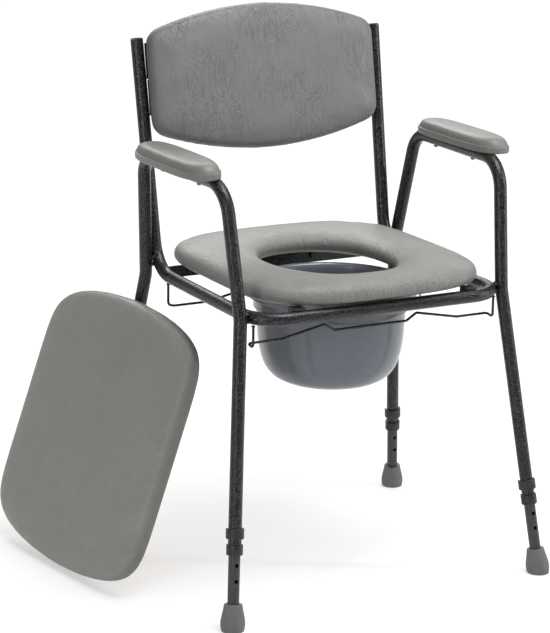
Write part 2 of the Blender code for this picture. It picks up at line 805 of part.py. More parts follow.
def make_pan():
    look = material("pan_plastic", (0.25, 0.29, 0.33), 0.35)
    shoulder = WIRE_LOW_Z + WIRE_R + GAP - PAN_RIM_Z
    floor = -0.1640
    outer = [
        (PAN_RIM_R - 0.0030, 0.0),
        (PAN_RIM_R, -0.0035),
        (PAN_RIM_R, -0.0190),
        (PAN_RIM_R - 0.0025, -0.0190),
        (PAN_RIM_R - 0.0030, -0.0060),
        (0.1345, -0.0060),
        (0.1315, -0.0120),
        (0.1315, shoulder),
        (0.1262, shoulder),
        (0.1240, -0.0900),
        (0.1205, -0.1130),
        (0.1130, -0.1380),
        (0.1010, -0.1550),
        (0.0860, floor),
        (0.0, floor),
    ]
    inner = [
        (0.0, floor + PAN_WALL),
        (0.0845, floor + PAN_WALL),
        (0.0990, -0.1532),
        (0.1108, -0.1368),
        (0.1218, -0.0895),
        (0.1238, shoulder + 0.0030),
        (0.1292, shoulder + 0.0035),
        (0.1300, -0.0090),
        (0.1350, 0.0),
        (PAN_RIM_R - 0.0030, 0.0),
    ]
    pan = turned("pan", outer + inner, look, steps=36)
    pan.parent = pan_axis
    for side in (-1, 1):
        name = "pan_ear_" + ("a" if side < 0 else "b")
        ear = cylinder(name, 0.0060, -0.0028, 0.0022, None, 12, cutters, "X")
        ear.location = (side * (PAN_RIM_R + 0.0008), 0, -0.0115)
        hole = cylinder(name + "_hole", 0.0020, -0.0060, 0.0060, None, 12, cutters, "X")
        hole.location = ear.location
        for piece in (ear, hole):
            piece.parent = pan_axis
            as_cutter(piece)
        boolean(pan, ear, "UNION")
        boolean(pan, hole)
    return pan


def make_bail():
    """A wire half-hoop that lies round the front of the rim, with its ends in the rim's ears."""
    look = material("bail_wire_steel", (0.03, 0.03, 0.03), 0.4, 0.7)
    reach = PAN_RIM_R + 0.0030
    end = PAN_RIM_R - 0.0012
    half = [Vector((end, 0, 0)), Vector((reach + 0.0055, 0, 0))]
    count = 12
    arc = []
    for i in range(1, count):
        angle = pi * i / (2 * count)
        flat = max(0.0, cos(angle)) ** 0.92
        arc.append(Vector(((reach + 0.0055) * flat, -BAIL_BOW * sin(angle), 0)))
    half += arc
    points = half + [Vector((0, -BAIL_BOW, 0))] + list(reversed(mirrored(half)))
    frame = empty("axis_bail", pan_axis.matrix_world @ Matrix.Translation((0, 0, -0.0115)))
    bail = tube("pan_bail", points, BAIL_R, look, sides=2)
    bail.matrix_world = frame.matrix_world @ Matrix.Rotation(BAIL_DROP, 4, "X")
    return bail


make_pan()
make_bail()

# ---------------------------------------------------------------- origin under the middle of the whole object
for piece in list(chair.objects) + list(cutters.objects):
    if piece.parent is None:
        piece.location += Vector(CENTRING)
bpy.context.view_layer.update()
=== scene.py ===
"""Looks for the commode chair: fine surfaces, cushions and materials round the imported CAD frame."""

from math import cos, pi, radians, sin

import bmesh
import bpy
import numpy as np
from mathutils import Matrix, Vector, noise


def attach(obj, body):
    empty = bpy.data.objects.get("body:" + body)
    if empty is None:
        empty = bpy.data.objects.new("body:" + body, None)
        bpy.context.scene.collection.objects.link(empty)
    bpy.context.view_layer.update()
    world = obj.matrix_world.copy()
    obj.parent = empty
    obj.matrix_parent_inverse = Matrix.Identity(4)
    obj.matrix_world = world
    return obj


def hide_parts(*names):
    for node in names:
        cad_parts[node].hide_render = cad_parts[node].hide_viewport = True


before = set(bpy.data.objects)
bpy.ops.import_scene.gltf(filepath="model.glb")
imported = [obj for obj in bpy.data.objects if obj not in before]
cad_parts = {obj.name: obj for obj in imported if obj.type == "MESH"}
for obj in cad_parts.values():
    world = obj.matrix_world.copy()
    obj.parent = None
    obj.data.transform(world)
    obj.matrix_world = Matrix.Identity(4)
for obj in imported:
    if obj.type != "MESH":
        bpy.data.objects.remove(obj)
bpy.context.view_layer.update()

# ---------------------------------------------------------------- dimensions, as in the CAD
ORIGIN = Vector((0.0678, -0.0579, 0.0))
GAP = 0.0003
TUBE_R = 0.011
KINK_R = 0.06
KINK_X, KINK_Z = 0.246, 0.487
ARM_Z = 0.698
FRONT_KINK_Y, REAR_KINK_Y = -0.1712, 0.1806
FRONT_SPLAY, REAR_SPLAY = (0.0968, -0.1523), (0.1184, 0.1631)
FRONT_ARM, REAR_ARM = (0.2567, -0.1373), (0.2659, 0.1461)
FRONT_ARM_R, REAR_ARM_R = 0.055, 0.040
RAIL_Z = 0.489
RAIL_FRONT, RAIL_REAR = (0.2297, -0.2014), (0.2255, 0.1784)
RAIL_FRONT_R, RAIL_REAR_R = 0.058, 0.063
RECLINE = radians(10.2)
UPRIGHT_TOP_X, UPRIGHT_LENGTH, CAP_HEIGHT = 0.2315, 0.3945, 0.003
LEG_R, LEG_BORE_R, LEG_START, LEG_LENGTH = 0.0095, 0.0083, 0.009, 0.292
SOCKET_R, OUTER_END, BORE_TOP = 0.0099, 0.125, 0.392
PIN_AT, PIN_R, HOLE_R, HOLE_PITCH = 0.1555, 0.0028, 0.0033, 0.0254
BUSH_R, BUSH_HEIGHT, CLIP_R, CLIP_HEIGHT = 0.0135, 0.017, 0.0148, 0.017
FOOT_HEIGHT, ROUNDING = 0.042, 0.0014
PAD_HALF, PAD_CENTRE, PAD_SHAPE = (0.2180, 0.2315), (0.0060, 0.0120), (3.1, 4.8)
PAD_BASE, PAD_CROWN, PAD_RECESS, BOARD_INSET = 0.5040, 0.0360, 0.0095, 0.0245
OPENING_HALF, OPENING_SHAPE = (0.106, 0.129), (2.2, 2.2)
LID_CENTRE, LID_HALF, LID_SHAPE = (-0.3366, 0.1595, 0.2182), (0.2229, 0.2369), (1.9, 8.5)
LID_YAW, LID_LEAN, LID_ROLL, LID_HEIGHT = radians(8.45), radians(19.7), radians(-1.27), 1.08
BACK_HALF_WIDTH, BACK_CENTRE_X = 0.2195, -0.0060
BACK_BOTTOM, BACK_TOP, BACK_CORNER_R = (0.193, 0.233), (0.4462, 0.405), 0.030
BACK_FACE, BACK_RECESS = -0.0095, 0.0095
ARM_PAD_HALF, ARM_PAD_SHAPE = (0.0345, 0.1250), (2.4, 4.1)
ARM_PAD_CENTRE, ARM_PAD_LOOSE = (0.2722, 0.0048, 0.7043), 0.0005
ARM_PAD_YAW, ARM_PAD_ROLL = radians(0.43), radians(1.8)
WIRE_R, WIRE_FRONT_Y, WIRE_REAR_Y = 0.0022, -0.1600, 0.1060
WIRE_LOW_Z, WIRE_BUMP_Z, WIRE_FLAT_Z = 0.4486, 0.4603, 0.4447
WIRE_FLAT_X, WIRE_BUMP_X, WIRE_LOW_X = 0.166, 0.087, 0.068
WIRE_END_X = {"front": 0.2260, "rear": 0.2290}
WIRE_END_Y = {"front": WIRE_FRONT_Y - 0.0175, "rear": WIRE_REAR_Y + 0.0220}
CROSSBAR_Y, CROSSBAR_END_X = 0.1575, 0.2138
PAN_Y, PAN_RIM_Z, PAN_RIM_R, PAN_WALL, PAN_TURN = -0.0270, 0.4925, 0.1435, 0.0022, radians(55)
PAN_FLOOR_Z, EAR_Z, EAR_R, EAR_BORE_R = -0.1640, -0.0115, 0.0060, 0.0020
BAIL_R, BAIL_BOW, BAIL_DROP = 0.0016, 0.1515, radians(5.6)

# ---------------------------------------------------------------- sizes of the finer detail
MERGE = 0.00001
RAIL_WELD, WIRE_WELD = (0.0085, 0.0042, 0.0034), (0.0042, 0.0030, 0.0018)
CROSSBAR_WELD = (0.0080, 0.0030, 0.0030)
STAPLED_TO, LOOSE_AFTER = 0.0045, 0.010
VOXEL, CLOTH_FRAMES = 0.005, 20
CLOTH = {
    "quality": 4,
    "mass": 0.25,
    "tension_stiffness": 12,
    "compression_stiffness": 12,
    "shear_stiffness": 6,
    "bending_stiffness": 0.6,
    "use_pressure": True,
    "uniform_pressure_force": 4.0,
    "vertex_group_mass": "held",
    "pin_stiffness": 1.0,
}

# ---------------------------------------------------------------- camera
AZIMUTH, ELEVATION, ROLL = radians(28.326), radians(14.175), radians(0.774)
CAMERA_AT, LENS, SENSOR = (-1.85147, -3.45846, 1.45816), 135.42, 36.0
SHIFT = (-0.00529, -0.04335)
look = Vector((sin(AZIMUTH) * cos(ELEVATION), cos(AZIMUTH) * cos(ELEVATION), -sin(ELEVATION)))
right = Vector((cos(AZIMUTH), -sin(AZIMUTH), 0.0))
up = right.cross(look)
right, up = right * cos(ROLL) + up * sin(ROLL), up * cos(ROLL) - right * sin(ROLL)
camera_data = bpy.data.cameras.new("camera")
camera_data.lens = LENS
camera_data.sensor_width = SENSOR
camera_data.shift_x, camera_data.shift_y = SHIFT
camera = bpy.data.objects.new("camera", camera_data)
turn = Matrix((right, up, -look)).transposed().to_4x4()
camera.matrix_world = Matrix.Translation(CAMERA_AT) @ turn
bpy.context.scene.collection.objects.link(camera)
bpy.context.scene.camera = camera


# ---------------------------------------------------------------- material helpers
class Nodes:
    """A short way to write a material's node tree."""

    def __init__(self, name):
        self.material = bpy.data.materials.new(name)
        self.material.use_nodes = True
        self.tree = self.material.node_tree
        self.shader = self.tree.nodes["Principled BSDF"]
        coords = self.tree.nodes.new("ShaderNodeTexCoord")
        self.place = coords.outputs["Object"]

    def add(self, kind, settings=None, **sockets):
        node = self.tree.nodes.new("ShaderNode" + kind)
        for key, value in (settings or {}).items():
            setattr(node, key, value)
        for key, value in sockets.items():
            self.plug(node.inputs[key.replace("_", " ")], value)
        return node

    def plug(self, socket, value):
        if isinstance(value, bpy.types.NodeSocket):
            self.tree.links.new(value, socket)
        else:
            socket.default_value = value

    def set(self, **sockets):
        for key, value in sockets.items():
            self.plug(self.shader.inputs[key.replace("_", " ")], value)

    def stretched(self, scale):
        node = self.add("Mapping", Vector=self.place)
        node.inputs["Scale"].default_value = scale
        return node.outputs["Vector"]

    def noise(self, scale, detail=2.0, rough=0.5, distort=0.0, at=None):
        settings = {"noise_type": "FBM", "normalize": True}
        node = self.add("TexNoise", settings, Vector=at or self.place, Scale=scale, Detail=detail)
        node.inputs["Roughness"].default_value = rough
        node.inputs["Distortion"].default_value = distort
        return node.outputs["Fac"]

    def pebbles(self, scale):
        node = self.add("TexVoronoi", {"feature": "SMOOTH_F1"}, Vector=self.place, Scale=scale)
        node.inputs["Randomness"].default_value = 1.0
        return node.outputs["Distance"]

    def ramp(self, value, stops):
        node = self.add("ValToRGB", Fac=value)
        ramp = node.color_ramp
        while len(ramp.elements) < len(stops):
            ramp.elements.new(0.5)
        for element, (at, colour) in zip(ramp.elements, stops):
            element.position = at
            rgb = colour if isinstance(colour, tuple) else (colour,) * 3
            element.color = (*rgb, 1.0)
        return node.outputs["Color"]

    def math(self, operation, a, b=0.0):
        node = self.tree.nodes.new("ShaderNodeMath")
        node.operation = operation
        self.plug(node.inputs[0], a)
        self.plug(node.inputs[1], b)
        return node.outputs[0]

    def mix(self, factor, a, b, blend="MIX"):
        node = self.tree.nodes.new("ShaderNodeMix")
        node.data_type = "RGBA"
        node.blend_type = blend
        self.plug(node.inputs["Factor"], factor)
        self.plug(node.inputs[6], a if isinstance(a, bpy.types.NodeSocket) else (*a, 1.0))
        self.plug(node.inputs[7], b if isinstance(b, bpy.types.NodeSocket) else (*b, 1.0))
        return node.outputs[2]

    def bump(self, height, distance, strength=1.0, normal=None):
        node = self.add("Bump", Height=height, Distance=distance, Strength=strength)
        if normal is not None:
            self.plug(node.inputs["Normal"], normal)
        return node.outputs["Normal"]


def hammertone(name, fleck_scale=980.0):
    """Black hammered stove paint with fine silver flecks."""
    m = Nodes(name)
    flecks = m.noise(fleck_scale, 2.0, 0.6, 0.2)
    blotch = m.noise(fleck_scale * 0.3, 2.0)
    both = m.math("ADD", flecks, m.math("MULTIPLY", m.math("SUBTRACT", blotch, 0.5), 0.16))
    m.set(
        Base_Color=m.ramp(both, [(0.57, (0.0008, 0.0007, 0.0008)), (0.67, (0.20, 0.20, 0.205))]),
        Metallic=m.ramp(both, [(0.57, 0.0), (0.68, 0.4)]),
        Roughness=m.ramp(flecks, [(0.35, 0.10), (0.70, 0.22)]),
        Normal=m.bump(m.math("ADD", flecks, m.math("MULTIPLY", blotch, 0.7)), 0.0005, 0.6),
    )
    m.set(Specular_IOR_Level=0.32)
    return m.material


def leg_paint(name):
    """Dark powder paint with a fine grain, on the inner legs."""
    m = Nodes(name)
    flecks = m.noise(900.0, 3.0, 0.6)
    m.set(
        Base_Color=m.ramp(flecks, [(0.38, 0.010), (0.66, 0.075)]),
        Roughness=m.ramp(flecks, [(0.3, 0.38), (0.7, 0.55)]),
        Normal=m.bump(flecks, 0.0003, 0.5),
    )
    m.set(Metallic=0.25)
    return m.material


def vinyl(name, light, dark, creases, crease_scale, folds=None, opening=None, side=None):
    """Grained sheet vinyl with thin creases.

    folds adds gathers on the front, opening adds them round the hole, side darkens the sides with
    painted shade.
    """
    m = Nodes(name)
    pebble = m.pebbles(820.0)
    fine = m.noise(1700.0, 3.0, 0.55)
    grained = m.bump(m.math("ADD", pebble, m.math("MULTIPLY", fine, 0.4)), 0.00028, 0.85)
    where = m.ramp(m.noise(12.0, 3.0, 0.6), [(0.38, 0.12), (0.60, 1.0)])
    grooves = None
    finer = tuple(2.1 * c for c in crease_scale)
    for scale, width, depth in ((crease_scale, 0.028, 1.0), (finer, 0.045, 0.55)):
        field = m.noise(1.0, 2.5, 0.55, 1.1, m.stretched(scale))
        ridge = m.math("ABSOLUTE", m.math("SUBTRACT", field, 0.5))
        line = m.ramp(ridge, [(0.0, depth), (width, 0.0)])
        grooves = line if grooves is None else m.math("ADD", grooves, line)
    grooves = m.math("MULTIPLY", grooves, where)
    normal = m.bump(m.math("MULTIPLY", grooves, -1.0), 0.0008, creases, grained)
    swell = m.noise(26.0, 2.0, 0.5, 0.6, m.stretched((1.0, 1.0, 0.6)))
    normal = m.bump(swell, 0.0022, 0.24, normal)
    place = m.add("SeparateXYZ", Vector=m.place)
    if folds:
        gathers = m.noise(1.0, 2.0, 0.5, 0.6, m.stretched(folds))
        front = m.ramp(m.math("MULTIPLY", place.outputs["Y"], -1.0), [(0.190, 0.0), (0.228, 1.0)])
        normal = m.bump(m.math("MULTIPLY", gathers, front), 0.0030, 0.9, normal)
    if opening:
        half_x, half_y, centre_y = opening
        across = m.math("DIVIDE", place.outputs["X"], half_x)
        along = m.math("DIVIDE", m.math("SUBTRACT", place.outputs["Y"], centre_y), half_y)
        squares = [m.math("POWER", m.math("ABSOLUTE", part), 2.0) for part in (across, along)]
        reach = m.math("SQRT", m.math("ADD", *squares))
        angle = m.math("ARCTAN2", along, across)
        turned_by, outward = m.math("MULTIPLY", angle, 22.0), m.math("MULTIPLY", reach, 2.2)
        polar = m.add("CombineXYZ", X=turned_by, Y=outward)
        pleats = m.noise(1.0, 3.0, 0.6, 0.2, polar.outputs[0])
        rim = m.ramp(m.math("SUBTRACT", reach, 1.0), [(0.02, 1.0), (0.34, 0.0)])
        normal = m.bump(m.math("MULTIPLY", pleats, rim), 0.0026, 0.8, normal)
    wear = m.noise(14.0, 3.0, 0.6)
    shade = m.mix(m.ramp(wear, [(0.35, 0.0), (0.65, 1.0)]), dark, light)
    # painted shade in the creases: the grooves mix the colour towards a deeper tone of the vinyl
    shade = m.mix(m.math("MULTIPLY", grooves, 0.07), shade, tuple(c * 0.55 for c in dark))
    # painted shade: the colour is multiplied by a ramp along one axis, so the pad's sides come out
    # darker
    if side:
        axis, sign, stops = side
        height = m.math("MULTIPLY", place.outputs[axis], sign)
        tone = m.ramp(height, stops)
        shade = m.mix(1.0, shade, tone, "MULTIPLY")
    m.set(Base_Color=shade, Roughness=m.ramp(fine, [(0.3, 0.38), (0.7, 0.54)]), Normal=normal)
    m.set(Specular_IOR_Level=0.42)
    return m.material


def moulded(name, light, dark, rough, scale, depth):
    """Moulded plastic, foam or rubber with a fine skin texture and slight mottling."""
    m = Nodes(name)
    grain = m.noise(scale, 3.0, 0.6)
    cloud = m.noise(55.0, 3.0, 0.6)
    m.set(
        Base_Color=m.mix(m.ramp(cloud, [(0.35, 0.0), (0.65, 1.0)]), dark, light),
        Roughness=m.ramp(grain, [(0.3, rough - 0.06), (0.7, rough + 0.08)]),
        Normal=m.bump(grain, depth, 0.7),
    )
    m.set(Specular_IOR_Level=0.4)
    return m.material


def pan_plastic(name):
    """Blue-grey plastic with a painted paler rim for light through the plastic; its ramp begins at
    the rim's top, so the bowl keeps its own tone.
    """
    m = Nodes(name)
    place = m.add("SeparateXYZ", Vector=m.place)
    cloud = m.noise(16.0, 2.0, 0.5)
    grain = m.noise(650.0, 2.0, 0.5)
    tone = m.ramp(cloud, [(0.35, (0.090, 0.106, 0.126)), (0.65, (0.104, 0.122, 0.144))])
    # painted light through the plastic: the ramp rises from the rim's top upwards
    edge = m.ramp(place.outputs["Z"], [(0.0, 0.0), (0.004, 1.0)])
    m.set(
        Base_Color=m.mix(m.math("MULTIPLY", edge, 0.25), tone, (0.26, 0.29, 0.32)),
        Roughness=m.ramp(grain, [(0.3, 0.17), (0.7, 0.27)]),
        Normal=m.bump(grain, 0.00008, 0.5),
    )
    m.set(Specular_IOR_Level=0.55, Subsurface_Weight=0.12, Subsurface_Scale=0.01)
    return m.material


def plywood(name, dark, light):
    """Grained board with open pores along X."""
    m = Nodes(name)
    grain = m.noise(6.0, 4.0, 0.6, 1.2, m.stretched((1.0, 14.0, 60.0)))
    pores = m.noise(40.0, 3.0, 0.6, 0.0, m.stretched((1.0, 22.0, 22.0)))
    tone = m.ramp(grain, [(0.3, dark), (0.7, light)])
    shade = m.mix(m.math("MULTIPLY", pores, 0.3), tone, tuple(0.5 * c for c in dark))
    m.set(Base_Color=shade, Roughness=0.62)
    m.set(Normal=m.bump(pores, 0.0002, 0.5))
    return m.material


def steel(name, tone):
    """Zinc-plated steel of one grey tone."""
    m = Nodes(name)
    grain = m.noise(700.0, 3.0, 0.6)
    m.set(
        Base_Color=m.ramp(grain, [(0.3, tone * 0.7), (0.7, tone * 1.25)]),
        Roughness=m.ramp(grain, [(0.3, 0.28), (0.7, 0.42)]),
        Normal=m.bump(grain, 0.0001, 0.4),
    )
    m.set(Metallic=0.85)
    return m.material


PAINT = hammertone("hammertone_paint")
WIRE_PAINT = hammertone("wire_paint", 1200.0)
LEG_PAINT = leg_paint("leg_powder_paint")
SEAT_VINYL = vinyl(
    "seat_vinyl",
    (0.196, 0.196, 0.184),
    (0.180, 0.180, 0.169),
    creases=0.6,
    crease_scale=(34.0, 34.0, 34.0),
    folds=(150.0, 150.0, 12.0),
    opening=(OPENING_HALF[0], OPENING_HALF[1], -PAD_CENTRE[1]),
    # painted shade: the seat's sides darkened, to 0.84 of the colour within 12 mm of the board
    side=("Z", 1.0, [(0.012, 0.84), (0.028, 1.0)]),
)
LID_VINYL = vinyl(
    "lid_vinyl",
    (0.216, 0.213, 0.195),
    (0.200, 0.197, 0.181),
    creases=0.6,
    crease_scale=(26.0, 48.0, 30.0),
    # painted shade: the lid's sides darkened, to 0.66 of the colour within 18 mm of the board
    side=("Z", 1.0, [(0.018, 0.66), (0.032, 1.0)]),
)
BACK_VINYL = vinyl(
    "backrest_vinyl",
    # darker than the seat's vinyl: painted shade for the backrest's angle to the light
    (0.150, 0.150, 0.149),
    (0.138, 0.138, 0.137),
    creases=0.9,
    crease_scale=(64.0, 64.0, 20.0),
    # painted shade: the sides darkened to about 0.6 of the colour; near black within about 3 mm of
    # the back, the black backing
    side=("Y", -1.0, [(0.0120, 0.04), (0.0135, 0.60), (0.026, 0.62), (0.040, 1.0)]),
)
ARM_FOAM = moulded(
    "armrest_foam", (0.150, 0.150, 0.139), (0.138, 0.138, 0.128), 0.40, 1100.0, 0.00025
)
FOOT_RUBBER = moulded(
    "foot_rubber", (0.128, 0.124, 0.120), (0.104, 0.101, 0.098), 0.60, 900.0, 0.0004
)
BLACK_PLASTIC = moulded(
    "black_plastic", (0.020, 0.020, 0.020), (0.012, 0.012, 0.012), 0.38, 1300.0, 0.0002
)
PAN_PLASTIC = pan_plastic("pan_plastic")
PLYWOOD = plywood("plywood", (0.30, 0.19, 0.10), (0.47, 0.33, 0.20))
BLACK_BOARD = plywood("black_stained_plywood", (0.014, 0.013, 0.012), (0.024, 0.022, 0.021))
DARK_STEEL = steel("dark_steel", 0.16)


# ---------------------------------------------------------------- shape helpers
def finish_mesh(name, bm, look, angle=38.0):
    """Turns bm into an object, smooth except at edges sharper than angle degrees."""
    bmesh.ops.recalc_face_normals(bm, faces=bm.faces)
    mesh = bpy.data.meshes.new(name)
    bm.to_mesh(mesh)
    bm.free()
    mesh.shade_smooth()
    mesh.set_sharp_from_angle(angle=radians(angle))
    obj = bpy.data.objects.new(name, mesh)
    bpy.context.scene.collection.objects.link(obj)
    mesh.materials.append(look)
    return obj


def settle(obj, matrix, body, slot, *nodes):
    """Puts a finished piece in its place on its body and hides the CAD nodes it replaces; slot is not
    used.
    """
    obj.matrix_world = Matrix.Translation(ORIGIN) @ matrix
    bpy.context.view_layer.update()
    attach(obj, body)
    if nodes:
        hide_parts(*nodes)
    return obj


def fillet(points, radii, step=radians(4)):
    """A path through points whose inner corners are rounded by radii."""
    path = [Vector(points[0])]
    for before, corner, after, radius in zip(points, points[1:], points[2:], radii):
        corner = Vector(corner)
        back = (Vector(before) - corner).normalized()
        ahead = (Vector(after) - corner).normalized()
        bend = pi - back.angle(ahead)
        reach = radius * (1 - cos(bend)) / sin(bend)
        centre = corner + (back + ahead).normalized() * radius / cos(bend / 2)
        start = corner + back * reach - centre
        axis = start.cross(corner + ahead * reach - centre)
        count = max(3, round(bend / step))
        for i in range(count + 1):
            path.append(centre + Matrix.Rotation(bend * i / count, 3, axis) @ start)
    path.append(Vector(points[-1]))
    return path


def evaluated_mesh(obj):
    graph = bpy.context.evaluated_depsgraph_get()
    return bpy.data.meshes.new_from_object(obj.evaluated_get(graph))


def apply_modifiers(obj):
    mesh = evaluated_mesh(obj)
    obj.modifiers.clear()
    obj.data = mesh
    return mesh


def tube(name, path, radius, look, sides=10):
    """A capped round tube along path."""
    curve = bpy.data.curves.new(name, "CURVE")
    curve.dimensions = "3D"
    curve.bevel_depth = radius
    curve.bevel_resolution = sides
    curve.use_fill_caps = True
    spline = curve.splines.new("POLY")
    spline.points.add(len(path) - 1)
    for point, where in zip(spline.points, path):
        point.co = (*where, 1.0)
    guide = bpy.data.objects.new(name + "_guide", curve)
    bpy.context.scene.collection.objects.link(guide)
    mesh = evaluated_mesh(guide)
    bm = bmesh.new()
    bm.from_mesh(mesh)
    bmesh.ops.remove_doubles(bm, verts=bm.verts, dist=MERGE)
    bpy.data.objects.remove(guide, do_unlink=True)
    bpy.data.meshes.remove(mesh)
    return finish_mesh(name, bm, look)


def turned(name, profile, look, steps=64, angle=32.0):
    """A surface of revolution about Z through (radius, height) pairs."""
    bm = bmesh.new()
    corners = [bm.verts.new((radius, 0, height)) for radius, height in profile]
    edges = [bm.edges.new(pair) for pair in zip(corners, corners[1:])]
    bmesh.ops.spin(
        bm,
        geom=list(bm.verts) + edges,
        axis=(0, 0, 1),
        cent=(0, 0, 0),
        angle=2 * pi,
        steps=steps,
        use_merge=True,
    )
    bmesh.ops.remove_doubles(bm, verts=bm.verts, dist=MERGE)
    return finish_mesh(name, bm, look, angle)


def cut(obj, cutters, operation="DIFFERENCE"):
    """Applies booleans with throwaway tools."""
    for cutter in cutters:
        modifier = obj.modifiers.new("cut", "BOOLEAN")
        modifier.object = cutter
        modifier.operation = operation
        modifier.solver = "EXACT"
    mesh = apply_modifiers(obj)
    mesh.shade_smooth()
    mesh.set_sharp_from_angle(angle=radians(34))
    for cutter in cutters:
        bpy.data.objects.remove(cutter, do_unlink=True)
    return obj


def rod(radius, bottom, top, axis="Z", at=(0, 0, 0), sides=32):
    """A boolean tool: a cylinder from bottom to top along an axis through at."""
    turn_to = {
        "Z": Matrix(),
        "Y": Matrix.Rotation(-pi / 2, 4, "X"),
        "X": Matrix.Rotation(pi / 2, 4, "Y"),
    }
    place = Matrix.Translation(at) @ turn_to[axis] @ Matrix.Translation((0, 0, (bottom + top) / 2))
    bm = bmesh.new()
    bmesh.ops.create_cone(
        bm,
        cap_ends=True,
        segments=sides,
        radius1=radius,
        radius2=radius,
        depth=top - bottom,
        matrix=place,
    )
    return finish_mesh("tool", bm, BLACK_PLASTIC)


def block(size, centre):
    """A boolean tool: a box."""
    bm = bmesh.new()
    place = Matrix.Translation(centre) @ Matrix.Diagonal((*size, 1))
    bmesh.ops.create_cube(bm, size=1.0, matrix=place)
    return finish_mesh("tool", bm, BLACK_PLASTIC)


def skin(name, rings, look, closed):
    """A surface over rings of equal count, joined into a ring itself when closed, else capped."""
    bm = bmesh.new()
    rows = [[bm.verts.new(point) for point in ring] for ring in rings]
    pairs = list(zip(rows, rows[1:]))
    if closed:
        pairs.append((rows[-1], rows[0]))
    count = len(rows[0])
    for lower, upper in pairs:
        for i in range(count):
            j = (i + 1) % count
            bm.faces.new((lower[i], lower[j], upper[j], upper[i]))
    if not closed:
        bm.faces.new(list(reversed(rows[0])))
        bm.faces.new(rows[-1])
    return finish_mesh(name, bm, look)


def oval(half_x, half_y, shape, centre_y, height, count=128):
    """A level superellipse; shape gives its exponents across and along."""
    ring = []
    for i in range(count):
        angle = 2 * pi * (i + 0.5) / count
        c, s = cos(angle), sin(angle)
        x = abs(c) ** (2 / shape[0]) * (1 if c > 0 else -1)
        y = abs(s) ** (2 / shape[1]) * (1 if s > 0 else -1)
        ring.append(Vector((half_x * x, centre_y + half_y * y, height)))
    return ring


def smooth_profile(points, per=4):
    """A Catmull-Rom curve through profile points, so rolled edges have no facets."""
    points = [Vector(p) for p in points]
    out = []
    for i in range(len(points) - 1):
        p0 = points[max(i - 1, 0)]
        p1, p2 = points[i], points[i + 1]
        p3 = points[min(i + 2, len(points) - 1)]
        for k in range(per):
            t = k / per
            out.append(
                0.5
                * (
                    2 * p1
                    + (p2 - p0) * t
                    + (2 * p0 - 5 * p1 + 4 * p2 - p3) * t * t
                    + (3 * p1 - p0 - 3 * p2 + p3) * t * t * t
                )
            )
    out.append(points[-1])
    return out


def upholster(obj, cap, hold):
    """Cloth under pressure over a remeshed copy.

    hold(co) is how firmly a point is stapled down, 0 to 1; cap limits how far the cloth moves.
    """
    remesh = obj.modifiers.new("remesh", "REMESH")
    remesh.mode = "VOXEL"
    remesh.voxel_size = VOXEL
    remesh.use_smooth_shade = True
    mesh = apply_modifiers(obj)
    start = np.empty(len(mesh.vertices) * 3, np.float32)
    mesh.vertices.foreach_get("co", start)
    start = start.reshape(-1, 3)
    group = obj.vertex_groups.new(name="held")
    firm = [min(1.0, max(0.0, hold(co))) for co in start]
    for i, weight in enumerate(firm):
        if weight > 0.0:
            group.add([i], weight, "REPLACE")
    cloth = obj.modifiers.new("cloth", "CLOTH")
    for setting, value in CLOTH.items():
        setattr(cloth.settings, setting, value)
    cloth.settings.effector_weights.gravity = 0.0
    cloth.point_cache.frame_start = 1
    cloth.point_cache.frame_end = CLOTH_FRAMES
    for number in range(1, CLOTH_FRAMES + 1):
        bpy.context.scene.frame_set(number)
    graph = bpy.context.evaluated_depsgraph_get()
    moved = np.empty(len(mesh.vertices) * 3, np.float32)
    result = obj.evaluated_get(graph).to_mesh()
    result.vertices.foreach_get("co", moved)
    obj.evaluated_get(graph).to_mesh_clear()
    obj.modifiers.clear()
    obj.vertex_groups.clear()
    bpy.context.scene.frame_set(1)
    moved = moved.reshape(-1, 3) - start
    length = np.linalg.norm(moved, axis=1, keepdims=True)
    start = start + moved * (cap * np.tanh(length / cap) / np.maximum(length, 1e-9))
    mesh.vertices.foreach_set("co", start.ravel())
    mesh.update()
    soften = obj.modifiers.new("soften", "SMOOTH")
    soften.factor = 0.5
    soften.iterations = 3
    divide = obj.modifiers.new("divide", "SUBSURF")
    divide.levels = divide.render_levels = 1
    apply_modifiers(obj).shade_smooth()


def leg_matrix(side, splay, kink_y):
    """A leg's own frame: origin on the floor, Z up along the leg, Y towards the rear."""

    def point(height):
        drop = KINK_Z - height
        return Vector((side * (KINK_X + splay[0] * drop), kink_y + splay[1] * drop, height))

    foot = point(0.0)
    upward = (point(KINK_Z) - foot).normalized()
    across = Vector((0, 1, 0)).cross(upward).normalized()
    turn_to = Matrix((across, upward.cross(across), upward)).transposed().to_4x4()
    return Matrix.Translation(foot) @ turn_to


LEGS = {
    "front_left": leg_matrix(-1, FRONT_SPLAY, FRONT_KINK_Y),
    "front_right": leg_matrix(1, FRONT_SPLAY, FRONT_KINK_Y),
    "rear_left": leg_matrix(-1, REAR_SPLAY, REAR_KINK_Y),
    "rear_right": leg_matrix(1, REAR_SPLAY, REAR_KINK_Y),
}


# ---------------------------------------------------------------- tube frames
def placed(tool, matrix):
    """Moves a boolean tool by matrix."""
    tool.matrix_world = matrix
    return tool


